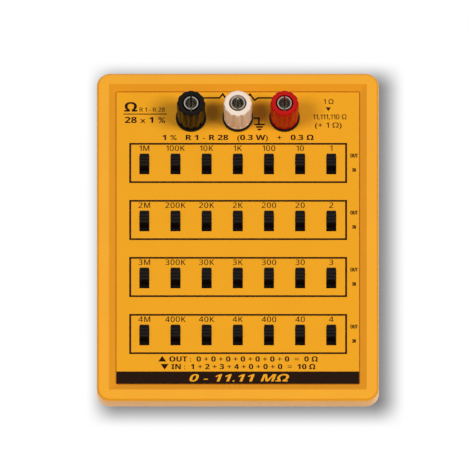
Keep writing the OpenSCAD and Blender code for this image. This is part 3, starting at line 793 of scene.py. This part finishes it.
# %% Grow the caps
CAP_SIZES = {"Ring": 0.8 * MM, "Crown": 0.9 * MM, "Mouth radius": 3.6 * MM, "Mouth depth": 3.5 * MM,
             "Bore radius": 3.0 * MM, "Recess radius": 4.7 * MM, "Flute depth": 0.4 * MM,
             "Flute share": 0.6, "Flutes": 12}
CAP_TAPER = 0.15 * MM
WASHER_GAP = 0.15 * MM
CAP_CREASE = math.radians(32)

for post, x in zip(POSTS, POST_X):
    low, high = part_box(f"{post}_cap")
    radius = (high.x - low.x) / 2
    values = {
        "Foot radius": radius - CAP_TAPER, "Top radius": radius, "Foot": low.z, "Top": high.z,
        "Recess top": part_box(f"{post}_clamp_washer")[1].z + WASHER_GAP, "Axis": (x, POST_Y, 0),
        "Finish": CAP_FINISHES[post],
    }
    mesh = grow(f"{post}_fluted_cap", FLUTED_CAP, {**CAP_SIZES, **values})
    mesh.shade_smooth()
    mesh.set_sharp_from_angle(angle=CAP_CREASE)
    cap = show_piece(f"{post}_fluted_cap", mesh, CAP_FINISHES[post], f"{post}_cap")
    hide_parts(f"{post}_cap")
    print(post, "cap faces", len(mesh.polygons))

# %% [markdown]
# ## Stud threads
# The caps run on a fine screw thread, which comes into view when a cap is turned up. A Screw modifier could
# spin it, but a curve is easier to read: a Spiral is the path of the thread, and a small six-sided profile
# along it is the ridge, sunk into the stud so that only its crest stands out. A Boolean takes the ridge
# away over the slit and over the wire hole.

# %% Build the thread's tree
THREAD_STEPS = 32
RIDGE_SIDES = 6
CUT_REACH = 4.0


def make_stud_thread():
    lengths = ("Radius", "Ridge", "Pitch", "Height", "Slit width", "Slit foot", "Hole radius",
               "Hole height")
    tree, size = new_tree("stud_thread", lengths, {"Foot": VECTOR})
    turns = calc(tree, "DIVIDE", size["Height"], size["Pitch"])
    inputs = {"Resolution": THREAD_STEPS, "Rotations": turns, "Start Radius": size["Radius"],
              "End Radius": size["Radius"], "Height": size["Height"]}
    helix = made(tree, "GeometryNodeCurveSpiral", inputs)
    inputs = {"Resolution": RIDGE_SIDES, "Radius": size["Ridge"]}
    ridge = made(tree, "GeometryNodeCurvePrimitiveCircle", inputs)
    inputs = {"Curve": helix, "Profile Curve": ridge, "Fill Caps": True}
    thread = made(tree, "GeometryNodeCurveToMesh", inputs)

    def seat(geometry, height, turn=0.0):
        inputs = {"Geometry": geometry, "Translation": vector(tree, z=height), "Rotation": (0, turn, 0)}
        return made(tree, "GeometryNodeTransform", inputs)

    span = calc(tree, "MULTIPLY", size["Radius"], CUT_REACH)
    block = vector(tree, size["Slit width"], span, calc(tree, "MULTIPLY", size["Height"], 2.0))
    slit = made(tree, "GeometryNodeMeshCube", {"Size": block})
    slit = seat(slit, calc(tree, "ADD", size["Slit foot"], size["Height"]))
    hole = made(tree, "GeometryNodeMeshCylinder", {"Radius": size["Hole radius"], "Depth": span})
    hole = seat(hole, size["Hole height"], math.pi / 2)
    inputs = {"Mesh 1": thread, "Mesh 2": [slit, hole]}
    cut = made(tree, "GeometryNodeMeshBoolean", inputs, operation="DIFFERENCE")
    placed = made(tree, "GeometryNodeTransform", {"Geometry": cut, "Translation": size["Foot"]})
    return close_tree(tree, placed, size["Finish"])


STUD_THREAD = make_stud_thread()

# %% Grow the threads
STUD_RADIUS = 2.9 * MM
THREAD_PITCH = 0.8 * MM
THREAD_RIDGE = 0.14 * MM
THREAD_CREST = 0.07 * MM
SLIT_WIDTH = 0.7 * MM
SLIT_DEPTH = 9 * MM
WIRE_HOLE_RADIUS = 1.0 * MM
WIRE_HOLE_RISE = 1.45 * MM
FLANGE_GAP = 0.15 * MM

for post, x in zip(POSTS, POST_X):
    washer_low, washer_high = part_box(f"{post}_clamp_washer")
    stud_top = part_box(f"{post}_stud")[1].z
    foot = washer_low.z - FLANGE_GAP + THREAD_PITCH / 2
    values = {
        "Radius": STUD_RADIUS + THREAD_CREST - THREAD_RIDGE, "Ridge": THREAD_RIDGE, "Pitch": THREAD_PITCH,
        "Height": stud_top - THREAD_PITCH - foot, "Slit width": SLIT_WIDTH,
        "Slit foot": stud_top - SLIT_DEPTH - foot, "Hole radius": WIRE_HOLE_RADIUS,
        "Hole height": washer_high.z + WIRE_HOLE_RISE - foot, "Foot": (x, POST_Y, foot),
        "Finish": STUD_NICKEL,
    }
    mesh = grow(f"{post}_stud_thread", STUD_THREAD, values)
    mesh.shade_smooth()
    show_piece(f"{post}_stud_thread", mesh, STUD_NICKEL, "case")
    print(post, "thread faces", len(mesh.polygons))

# %% [markdown]
# ## Ribbed knobs
# A switch knob is a small black block with ribs across its top for the finger, on a flat slider that stays
# under the face plate. The grooves could be cut out of a block, but here the rows of a grid are moved to
# the edges of the ribs, the grid is lifted into a block, and its top drops wherever a row lies in a groove,
# so that every edge is where a rib needs it. A thin box below is the slider.

# %% Shape the knob's ribs
ROWS_PER_RIB = 4


def ribbed_stem(tree, size):
    """The block that stands out of the plate, with ribs across its top."""
    rows = calc(tree, "MULTIPLY_ADD", size["Ribs"], float(ROWS_PER_RIB), 2.0 - ROWS_PER_RIB)
    inputs = {"Size X": size["Width"], "Size Y": size["Length"], "Vertices X": 2, "Vertices Y": rows}
    grid = made(tree, "GeometryNodeMeshGrid", inputs)

    pitch = calc(tree, "DIVIDE", calc(tree, "ADD", size["Length"], size["Groove"]), size["Ribs"])
    rib = calc(tree, "SUBTRACT", pitch, size["Groove"])
    groove_foot = calc(tree, "ADD", rib, size["Groove slope"])
    groove_end = calc(tree, "SUBTRACT", pitch, size["Groove slope"])
    row = calc(tree, "MODULO", made(tree, "GeometryNodeInputIndex"), rows)
    number = calc(tree, "FLOOR", calc(tree, "DIVIDE", row, float(ROWS_PER_RIB)))
    edges = [0.0, rib, groove_foot, groove_end]
    edge = pick(tree, "FLOAT", calc(tree, "MODULO", row, float(ROWS_PER_RIB)), edges)
    from_end = calc(tree, "MULTIPLY_ADD", number, pitch, edge)
    place = parts_of(tree, made(tree, "GeometryNodeInputPosition"))
    row_y = calc(tree, "MULTIPLY_ADD", size["Length"], -0.5, from_end)
    spot = vector(tree, place["X"], row_y, size["Foot"])
    base = made(tree, "GeometryNodeSetPosition", {"Geometry": grid, "Position": spot})
    height = calc(tree, "SUBTRACT", size["Top"], size["Foot"])
    inputs = {"Mesh": base, "Offset Scale": height, "Individual": False}
    block = add_node(tree, "GeometryNodeExtrudeMesh", inputs).outputs

    half_groove = calc(tree, "MULTIPLY", size["Groove"], 0.5)
    along = calc(tree, "MODULO", calc(tree, "MULTIPLY_ADD", size["Length"], 0.5, place["Y"]), pitch)
    groove_middle = calc(tree, "SUBTRACT", pitch, half_groove)
    off_groove = calc(tree, "ABSOLUTE", calc(tree, "SUBTRACT", along, groove_middle))
    slope = calc(tree, "DIVIDE", calc(tree, "SUBTRACT", half_groove, off_groove), size["Groove slope"])
    share = calc(tree, "MINIMUM", calc(tree, "MAXIMUM", slope, 0.0), 1.0)
    drop = calc(tree, "MULTIPLY", share, calc(tree, "MULTIPLY", size["Rib depth"], -1.0))
    inputs = {"Geometry": block["Mesh"], "Selection": block["Top"], "Offset": vector(tree, z=drop)}
    ribbed = made(tree, "GeometryNodeSetPosition", inputs)
    return merge(tree, ribbed, made(tree, "GeometryNodeFlipFaces", {"Mesh": base}))


print("rows of points to a rib:", ROWS_PER_RIB)

# %% Build the knob's tree
def flat_slider(tree, size):
    """The plate that carries the block under the face plate."""
    thick = calc(tree, "SUBTRACT", size["Foot"], size["Slider foot"])
    plate = vector(tree, size["Slider width"], size["Slider length"], thick)
    plate = made(tree, "GeometryNodeMeshCube", {"Size": plate})
    seat = vector(tree, z=calc(tree, "MULTIPLY_ADD", thick, 0.5, size["Slider foot"]))
    return made(tree, "GeometryNodeSetPosition", {"Geometry": plate, "Offset": seat})


def make_ribbed_knob():
    lengths = ("Width", "Length", "Foot", "Top", "Rib depth", "Groove", "Groove slope", "Slider width",
               "Slider length", "Slider foot")
    tree, size = new_tree("ribbed_knob", lengths, {"Ribs": COUNT, "Place": VECTOR})
    halves = [ribbed_stem(tree, size), flat_slider(tree, size)]
    whole = made(tree, "GeometryNodeJoinGeometry", {"Geometry": halves})
    placed = made(tree, "GeometryNodeSetPosition", {"Geometry": whole, "Offset": size["Place"]})
    return close_tree(tree, placed, size["Finish"])


RIBBED_KNOB = make_ribbed_knob()

# %% [markdown]
# All 28 knobs come from that one tree, each at its own place and on its own body. A Bevel modifier takes
# the edges off. The photograph's broad light leaves no shade of the knobs on the panel, so they are hidden
# from the rays that look for shade.

# %% Grow the knobs
RIB_SIZES = {"Rib depth": 0.4 * MM, "Groove": 0.55 * MM, "Groove slope": 0.15 * MM, "Ribs": 4}
SLIDER_SIDE = 0.7 * MM
SLIDER_LIP = 1.3 * MM
SLIDER_THICK = 1.3 * MM
KNOB_CREASE = math.radians(50)
KNOB_EDGE = 0.07 * MM
KNOB_EDGE_STEPS = 2
KNOB_SHARP = math.radians(60)

for node in [f"knob_{row}{decade}" for row in ROWS for decade in DECADES]:
    low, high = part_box(node)
    centre = middle(node)
    values = {
        "Width": high.x - low.x - 2 * SLIDER_SIDE, "Length": high.y - low.y - 2 * SLIDER_LIP,
        "Foot": low.z + SLIDER_THICK, "Top": high.z, "Slider width": high.x - low.x,
        "Slider length": high.y - low.y, "Slider foot": low.z, "Place": (centre.x, centre.y, 0),
        "Finish": KNOB_BLACK,
    }
    mesh = grow(f"ribbed_{node}", RIBBED_KNOB, {**RIB_SIZES, **values})
    mesh.shade_smooth()
    mesh.set_sharp_from_angle(angle=KNOB_CREASE)
    knob = show_piece(f"ribbed_{node}", mesh, KNOB_BLACK, node)
    bevel = knob.modifiers.new("soft edges", "BEVEL")
    bevel.width = KNOB_EDGE
    bevel.segments = KNOB_EDGE_STEPS
    bevel.angle_limit = KNOB_SHARP
    knob.visible_shadow = False
    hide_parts(node)
print("knobs grown:", len(ROWS) * len(DECADES), "with", len(mesh.polygons), "faces each")

# %% [markdown]
# ## Printing ink
# The legends are screen printed: a thin film of dark ink on the amber paint. A picture could carry them,
# but it would blur close up. So the ink is real geometry, a few hundredths of a millimetre thick and set a
# little into the plate. Its colour drifts a little, as a squeegee leaves it. Letters are filled in a
# thousand times larger and then made small, as Blender's fill loses detail of some hundredths of a
# millimetre. Each word is struck twice, a hair apart, which makes its strokes heavier and keeps their
# corners.

# %% Helpers for lines of ink
INK_SINK = 0.01 * MM
INK_RISE = 0.02 * MM
INK_WELD = 0.0005 * MM
MITRE_LIMIT = 0.4
INK_DARK = plastic("print_ink_dark", (0.016, 0.005, 0.002, 1), (0.4, 0.55), 0.3 * MM, 0.004 * MM,
                   specular=0.15, patch=2 * MM, drift=0.15)


def ink_outline(work, outline):
    """Adds a closed plate of ink with this outline, a list of points in mm in anticlockwise order."""
    low = [work.verts.new((x * MM, y * MM, PANEL_Z - INK_SINK)) for x, y in outline]
    high = [work.verts.new((x * MM, y * MM, PANEL_Z + INK_RISE)) for x, y in outline]
    work.faces.new(high)
    work.faces.new(low[::-1])
    for here in range(len(outline)):
        after = (here + 1) % len(outline)
        work.faces.new((low[here], low[after], high[after], high[here]))


def ink_bar(work, x0, x1, y0, y1):
    ink_outline(work, [(x0, y0), (x1, y0), (x1, y1), (x0, y1)])


def ink_stroke(work, points, width):
    """Adds a line of ink along these points, with mitred corners."""
    points = [Vector(point) for point in points]
    runs = [(after - here).normalized() for here, after in zip(points, points[1:])]
    left, right = [], []
    for number, point in enumerate(points):
        before = runs[max(number - 1, 0)]
        after = runs[min(number, len(runs) - 1)]
        side = Vector((-before.y - after.y, before.x + after.x)).normalized()
        reach = width / 2 / max(side.dot(Vector((-after.y, after.x))), MITRE_LIMIT)
        left.append(point + side * reach)
        right.append(point - side * reach)
    ink_outline(work, right + left[::-1])


def show_ink(name, work, finish=INK_DARK):
    """Shows the ink that was set as one piece on the case."""
    bmesh.ops.remove_doubles(work, verts=work.verts, dist=INK_WELD)
    mesh = bpy.data.meshes.new(name)
    work.to_mesh(mesh)
    work.free()
    print(name, "faces", len(mesh.polygons))
    return show_piece(name, mesh, finish, "case")


print("ink", round((INK_SINK + INK_RISE) / MM, 3), "mm thick")

# %% Helpers for words of ink
CAP_SHARE = 0.728
LETTER_STEPS = 4
NARROW_ONE = -11.0
STRIKE = 0.08
STRIKE_LIFT = 0.002 * MM
# Where the font keeps its sans letters: after 0, after A and at the ohm sign
SANS = {"0": 0x1D7E2, "A": 0x1D5A0, "Ω": ord("Ω")}
SANS_BOLD = {"0": 0x1D7EC, "A": 0x1D5D4, "Ω": 0x1D76E}


def sans(words, bold):
    """The words in the font's sans letters. Other signs stay as they are."""
    block = SANS_BOLD if bold else SANS
    drawn = ""
    for sign in words:
        capital = "A" if sign.isascii() and sign.isupper() else sign
        first = "0" if sign.isdigit() else capital
        drawn += chr(block[first] + ord(sign) - ord(first)) if first in block else sign
    return drawn


def ink_words(work, words, x, y, cap, width=None, bold=False, strike=STRIKE, spacing=1.0, slant=0.0):
    """Sets words with their middle at x, y in mm, that capital height and, where given, that width."""
    letters = bpy.data.curves.new("letters", "FONT")
    letters.body = sans(words, bold)
    for sign, form in zip(words, letters.body_format):
        form.kerning = NARROW_ONE if sign == "1" and not bold else 0.0
    letters.size = cap / CAP_SHARE
    letters.resolution_u = LETTER_STEPS
    letters.space_character = spacing
    letters.shear = slant
    letters.extrude = (INK_SINK + INK_RISE) / 2 / MM
    holder = bpy.data.objects.new("letters", letters)
    mesh = bpy.data.meshes.new_from_object(holder)
    xs = [vertex.co.x for vertex in mesh.vertices]
    start, end = min(xs), max(xs)
    stretch = width / (end - start) if width else 1.0
    for vertex in mesh.vertices:
        vertex.co.x = (x + (vertex.co.x - (start + end) / 2) * stretch) * MM
        vertex.co.y = (vertex.co.y + y - cap / 2) * MM
        vertex.co.z = vertex.co.z * MM + PANEL_Z + (INK_RISE - INK_SINK) / 2
    mesh.transform(Matrix.Translation((-strike / 2 * MM, 0, 0)))
    work.from_mesh(mesh)
    mesh.transform(Matrix.Translation((strike * MM, 0, STRIKE_LIFT)))
    work.from_mesh(mesh)
    bpy.data.objects.remove(holder)
    bpy.data.curves.remove(letters)
    bpy.data.meshes.remove(mesh)


print("capitals are", CAP_SHARE, "of the letters' size")

# %% [markdown]
# ## Row frames
# A printed line frames each row of switches. Four strokes of ink for each would do, but the frames repeat,
# so Geometry Nodes make them: one rectangle with a smaller rectangle taken out of it, filled, lifted to the
# thickness of the ink and set down four times along a line of points.

# %% Grow the row frames
FRAME_X = 0.15
FRAME_WIDTH = 88.8
FRAME_HEIGHT = 17.85
FRAME_RISE = 0.7
FRAME_LINE = 0.78


def make_row_frames():
    lengths = ("Width", "Height", "Line", "Ink", "Row pitch")
    tree, size = new_tree("row_frames", lengths, {"Rows": COUNT, "Place": VECTOR})
    double = calc(tree, "MULTIPLY", size["Line"], 2.0)
    outer = {label: size[label] for label in ("Width", "Height")}
    inner = {label: calc(tree, "SUBTRACT", socket, double) for label, socket in outer.items()}
    loops = [made(tree, "GeometryNodeCurvePrimitiveQuadrilateral", sides) for sides in (outer, inner)]
    both = made(tree, "GeometryNodeJoinGeometry", {"Geometry": loops})
    ring = made(tree, "GeometryNodeFillCurve", {"Curve": both})
    inputs = {"Mesh": ring, "Offset Scale": size["Ink"], "Individual": False}
    raised = made(tree, "GeometryNodeExtrudeMesh", inputs)
    under = made(tree, "GeometryNodeFlipFaces", {"Mesh": ring})
    down = vector(tree, y=calc(tree, "MULTIPLY", size["Row pitch"], -1.0))
    inputs = {"Count": size["Rows"], "Start Location": size["Place"], "Offset": down}
    inputs = {"Points": made(tree, "GeometryNodeMeshLine", inputs), "Instance": merge(tree, raised, under)}
    return close_tree(tree, made(tree, "GeometryNodeInstanceOnPoints", inputs), size["Finish"])


values = {"Width": FRAME_WIDTH * MM, "Height": FRAME_HEIGHT * MM, "Line": FRAME_LINE * MM,
          "Ink": INK_SINK + INK_RISE, "Row pitch": ROW_PITCH, "Rows": len(ROWS), "Finish": INK_DARK,
          "Place": (FRAME_X * MM, ROW_Y[0] + FRAME_RISE * MM, PANEL_Z - INK_SINK)}
mesh = grow("printed_row_frames", make_row_frames(), values)
show_piece("printed_row_frames", mesh, INK_DARK, "case")
print("row frames:", len(mesh.polygons), "faces")

# %% [markdown]
# ## Values and switch marks
# Each switch has its value printed above it, and each row says which way is OUT and which is IN. Letters
# could be drawn as outlines, but Blender's text objects have them ready, and become a mesh when they are
# set. The values keep the width of their letters, and the two small marks are stretched to theirs.

# %% Print the values and the marks
VALUE_RISE = 7.3
VALUE_CAP = 2.45
VALUE_SPACING = 1.1
MARK_X = 47.4
MARK_STRIKE = 0.14
# Each mark, its rise over the middle of the row, its capital height and its width
MARKS = (("OUT", 4.0, 1.75, 2.9), ("IN", -2.4, 1.6, 1.35))

work = bmesh.new()
for row, row_y in zip(ROWS, ROW_Y):
    for decade, column_x in zip(DECADES, COLUMN_X):
        words = f"{row}{decade.upper()}"
        ink_words(work, words, column_x / MM, row_y / MM + VALUE_RISE, VALUE_CAP, spacing=VALUE_SPACING)
    for words, rise, cap, width in MARKS:
        ink_words(work, words, MARK_X, row_y / MM + rise, cap, width, bold=True, strike=MARK_STRIKE)
show_ink("printed_values", work)

# %% [markdown]
# ## Symbols
# A resistor sign runs behind the posts and an earth sign hangs from the middle one. Both are lines of one
# width, so each could be a curve with a bevel. A stroke of ink is simpler: it needs only the points of the
# line and stays as thin as the other print.

# %% Print the symbols
SIGN_LINE = 0.7
SIGN_Y = 62.5
SIGN_LEG = 3.0
ZIGZAG_X = (-7.5, 8.2)
ZIGZAG_TURNS = 4
ZIGZAG_TAIL = 0.25
ZIGZAG_RISE = 1.7
ZIGZAG_DROP = 1.05
# Where a turn of the zigzag has its peak and its valley, as shares of the turn
ZIGZAG_PEAK = 0.375
ZIGZAG_VALLEY = 0.875
EARTH_START = 6.4
EARTH_STEM = 8.6
EARTH_X = 8.82
# How far each bar of the earth sign lies below the posts' axis, and its reach to both sides
EARTH_BARS = ((2.85, 2.2), (3.95, 1.4), (5.05, 0.8))

work = bmesh.new()
post_y = POST_Y / MM
turn = (ZIGZAG_X[1] - ZIGZAG_X[0]) / (ZIGZAG_TURNS + ZIGZAG_TAIL)
points = [(POST_X[0] / MM, SIGN_Y - SIGN_LEG), (POST_X[0] / MM, SIGN_Y), (ZIGZAG_X[0], SIGN_Y)]
for number in range(ZIGZAG_TURNS):
    start = ZIGZAG_X[0] + turn * number
    points.append((start + turn * ZIGZAG_PEAK, SIGN_Y + ZIGZAG_RISE))
    points.append((start + turn * ZIGZAG_VALLEY, SIGN_Y - ZIGZAG_DROP))
points += [(ZIGZAG_X[1], SIGN_Y), (POST_X[2] / MM, SIGN_Y), (POST_X[2] / MM, SIGN_Y - SIGN_LEG)]
ink_stroke(work, points, SIGN_LINE)
stem = [(EARTH_START, post_y), (EARTH_STEM, post_y), (EARTH_STEM, post_y - EARTH_BARS[0][0])]
ink_stroke(work, stem, SIGN_LINE)
for drop, reach in EARTH_BARS:
    bar = post_y - drop
    ink_bar(work, EARTH_X - reach, EARTH_X + reach, bar - SIGN_LINE / 2, bar + SIGN_LINE / 2)
show_ink("printed_symbols", work)

# %% [markdown]
# ## Legends
# The other legends are plain figures and units. They could be text objects placed by hand, but a table
# keeps them together and one loop sets them. The strip at the front edge is solid ink, and its amber
# figures are a second print that stands in it, because letters are easier to set than to cut out of a
# plate.

# %% Print the legends
# Each legend, the x and y of its middle, its capital height, its width if it is stretched, and if it is bold
LEGENDS = (
    ("1 %   R 1 - R 28   (0.3 W)   +   0.3 Ω", 0.1, 44.9, 2.35, 61.6, True),
    ("▲ OUT :  0 + 0 + 0 + 0 + 0 + 0 + 0  =  0 Ω", 0.1, -53.8, 2.3, 65, True),
    ("▼ IN :  1 + 2 + 3 + 4 + 0 + 0 + 0  =  10 Ω", 0.1, -57.2, 2.3, 63, True),
    ("Ω", -43.6, 58.5, 4.2, 5.2, True),
    ("R 1 - R 28", -34.9, 57.3, 1.9, 10.2, False),
    ("28 x 1 %", -37.8, 52.7, 2.7, 16.4, True),
    ("1 Ω", 37.0, 60.9, 2.2, None, False),
    ("▼", 36.9, 57.5, 1.6, None, False),
    ("11,111,110 Ω", 37.5, 54.1, 2.2, 13.6, False),
    ("(+ 1 Ω)", 36.9, 50.4, 2.3, 10.8, False),
)
RULE_X = (-46.6, -29.0)
RULE_Y = (55.1, 55.5)

work = bmesh.new()
for words, x, y, cap, width, bold in LEGENDS:
    ink_words(work, words, x, y, cap, width, bold)
ink_bar(work, *RULE_X, *RULE_Y)
show_ink("printed_legends", work)

# %% Print the strip and its figures
STRIP_Y = (-64.95, -59.4)
STRIP_MARGIN = 0.05
FIGURES_X = 0.6
FIGURES_CAP = 3.3
FIGURES_WIDTH = 40.5
FIGURES_SLANT = 0.25
FIGURES_Y = -62.2

work = bmesh.new()
half = (PLATE_HIGH.x - PLATE_LOW.x) / 2 / MM - STRIP_MARGIN
ink_bar(work, -half, half, *STRIP_Y)
show_ink("printed_strip", work)
work = bmesh.new()
ink_words(work, "0 - 11.11 MΩ", FIGURES_X, FIGURES_Y, FIGURES_CAP, FIGURES_WIDTH, bold=True,
          slant=FIGURES_SLANT)
for vertex in work.verts:
    vertex.co.z += INK_RISE / 2
show_ink("strip_figures", work, PANEL_AMBER)
